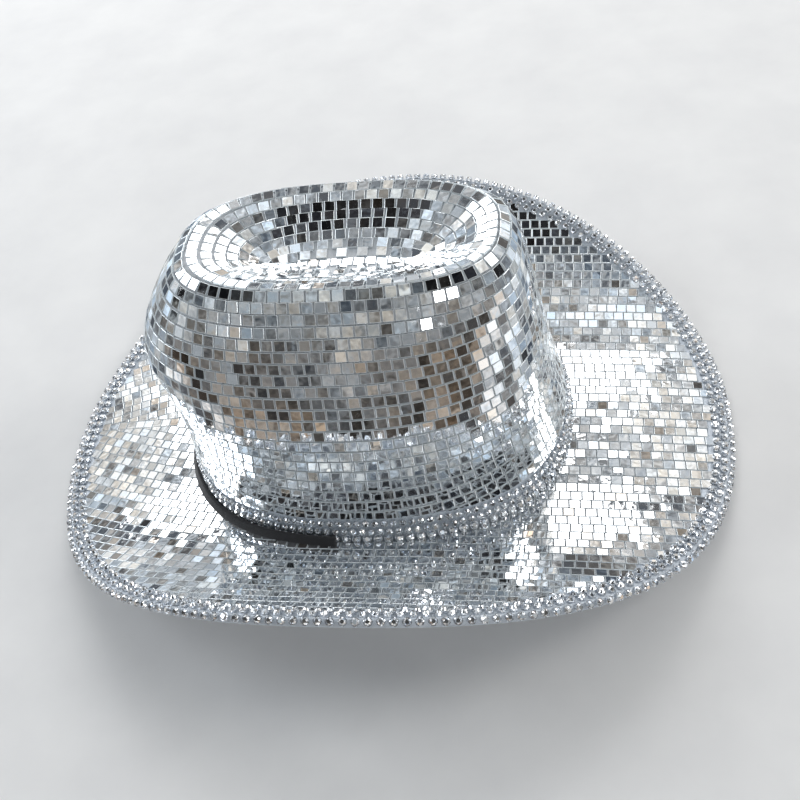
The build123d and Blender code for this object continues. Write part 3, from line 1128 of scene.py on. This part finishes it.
def mean_ring(at):
    ring = crown_skin(at, RING)
    return float(np.linalg.norm(np.diff(ring, axis=0), axis=1).sum())


split_at = float(crown_at_level(LINING_SPLIT))
side_height = split_at - float(crown_at_level(levels[0]))
side_length = mean_ring(float(crown_at_level(levels[0])))


def tip_lining():
    """The lining's tip: over the crest inside and under the dent."""
    at = np.linspace(split_at, DENT_AT, 30)[:, None]
    turns = np.broadcast_to(FELT_TURNS, (len(at), len(FELT_TURNS)))
    at = np.broadcast_to(at, turns.shape)
    point, _, _, outward = crown_frame(at, turns)
    upper = point - outward * (FELT + LINING_GAP)
    lower = point - outward * (FELT + LINING_GAP + LINING_SHEET)
    layers = np.concatenate([upper, lower[::-1]])
    faces = capped_faces(*layers.shape[:2])
    piece = make_piece("lining_tip_satin", layers, faces, (SATIN,), ("lining_tip",), True)
    across = float(np.linalg.norm(np.diff(upper, axis=0), axis=2).sum(axis=0).mean())
    area = 0.0
    for ring_low, ring_high in zip(upper[:-1], upper[1:]):
        width = np.linalg.norm(np.roll(ring_low, -1, axis=0) - ring_low, axis=1)
        area += float((width * np.linalg.norm(ring_high - ring_low, axis=1)).sum())
    long_side = np.ptp(upper[0, :, 0]) + across
    short_side = np.ptp(upper[0, :, 1]) + across


tip_lining()


# ---- Stage, light and camera -----------------------------------------------------------------------------
def stage_floor():
    size = 6.0
    mesh = bpy.data.meshes.new("floor")
    ground = -0.05 * MM
    corners = [(x * size, y * size, ground) for x, y in CORNERS]
    mesh.from_pydata(corners, [], [(0, 1, 2, 3)])
    mesh.materials.append(coat_of("pale_floor", floor_surface))
    floor = bpy.data.objects.new("floor", mesh)
    bpy.context.scene.collection.objects.link(floor)
    floor.visible_glossy = False
    floor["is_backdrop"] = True


def studio_world():
    """What the mirrors see: a bright wall far off, a dark ceiling near by and a mottled room."""
    world = bpy.data.worlds.new("studio")
    bpy.context.scene.world = world
    world.use_nodes = True
    f = Finish(world.node_tree)
    heading = f.node("ShaderNodeTexCoord")
    y, z = (f.node("ShaderNodeSeparateXYZ", None, {0: heading}, i) for i in (1, 2))
    # A share of a turn about X: 0 is level on the +Y side, 0.25 straight up, 0.5 level on the -Y side.
    pitch = (z.math("ARCTAN2", z, y) / (2 * pi) + 1.0).fraction()
    slow = f.noise(2.2, 2.0, 0.5, heading)
    patch = f.noise(4.2, 3.0, 0.6, heading)
    spot = f.noise(17.0, 2.0, 0.6, heading)
    tone = f.noise(9.0, 2.0, 0.6, heading)
    room = f.ramp(
        pitch + 0.07 * (slow - 0.5),
        (0.00, (0.58, 0.64, 0.70)),
        (0.05, (0.76, 0.76, 0.76)),
        (0.20, (0.76, 0.78, 0.79)),
        (0.255, (0.72, 0.78, 0.83)),
        (0.285, (0.03, 0.03, 0.035)),
        (0.342, (0.05, 0.05, 0.05)),
        (0.365, (0.50, 0.54, 0.56)),
        (0.44, (0.42, 0.43, 0.43)),
        (0.49, (0.28, 0.27, 0.26)),
        (0.52, (0.16, 0.15, 0.14)),
        (0.555, (0.38, 0.30, 0.23)),
        (0.60, (0.75, 0.73, 0.71)),
        (0.75, (0.60, 0.64, 0.68)),
        (1.00, (0.58, 0.64, 0.70)),
    )
    mottle = f.ramp(
        0.7 * patch + 0.3 * spot,
        (0.41, (0.10, 0.10, 0.11)),
        (0.46, (0.42, 0.41, 0.40)),
        (0.49, (0.70, 0.70, 0.71)),
        (0.53, (1.0, 1.0, 1.0)),
        (0.60, (1.9, 1.9, 1.9)),
    )
    tint = f.ramp(tone, (0.36, (0.80, 0.90, 1.0)), (0.50, (1.0, 1.0, 1.0)), (0.64, (1.0, 0.92, 0.82)))
    seen = f.blend(0.92, f.blend(1.0, room, tint, "MULTIPLY"), mottle, "MULTIPLY")
    seen = f.node("ShaderNodeBackground", None, {"Color": seen, "Strength": 0.94})
    plain = f.node("ShaderNodeBackground", None, {"Color": (0.80, 0.80, 0.81, 1), "Strength": 1.0})
    direct = f.node("ShaderNodeLightPath")
    shown = f.node("ShaderNodeMixShader", None, {0: direct, 1: seen, 2: plain})
    f.node("ShaderNodeOutputWorld", None, {"Surface": shown})


def soft_box(name, place, size, power, colour):
    light = bpy.data.lights.new(name, "AREA")
    light.shape = "RECTANGLE"
    light.size, light.size_y = size
    light.energy = power
    light.color = colour
    box = bpy.data.objects.new(name, light)
    box.location = place
    box.rotation_mode = "QUATERNION"
    box.rotation_quaternion = (-Vector(place)).to_track_quat("-Z", "Y")
    bpy.context.scene.collection.objects.link(box)


def camera():
    turn, rise, roll = radians(15.15), radians(47.96), radians(12.66)
    distance = 535.1 * MM
    target = Vector((CROWN_MIDDLE + 9.74 * MM, 10.23 * MM, OPENING))
    back = Vector((sin(turn) * cos(rise), -cos(turn) * cos(rise), sin(rise)))
    right = (-back).cross(Vector((0, 0, 1))).normalized()
    up = right.cross(-back)
    across = right * cos(roll) - up * sin(roll)
    upright = right * sin(roll) + up * cos(roll)
    data = bpy.data.cameras.new("camera")
    data.lens = 43.04
    data.clip_start = 0.02
    eye = bpy.data.objects.new("camera", data)
    eye.matrix_world = Matrix.Translation(target + back * distance) @ Matrix(
        (across, upright, back)
    ).transposed().to_4x4()
    bpy.context.scene.collection.objects.link(eye)
    bpy.context.scene.camera = eye


stage_floor()
studio_world()
soft_box("far_wall_box", (-0.3, 1.4, 1.1), (1.6, 1.0), 16.0, (1.0, 1.0, 1.0))
soft_box("side_box", (1.5, 0.3, 1.0), (0.7, 0.9), 9.0, (1.0, 0.98, 0.95))
soft_box("back_box", (-1.5, 0.2, 0.8), (0.7, 0.8), 8.0, (0.92, 0.96, 1.0))
soft_box("near_box", (0.5, -1.3, 0.6), (0.5, 0.25), 3.0, (1.0, 1.0, 1.0))
camera()
bpy.context.scene.view_settings.view_transform = "Standard"

low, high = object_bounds()
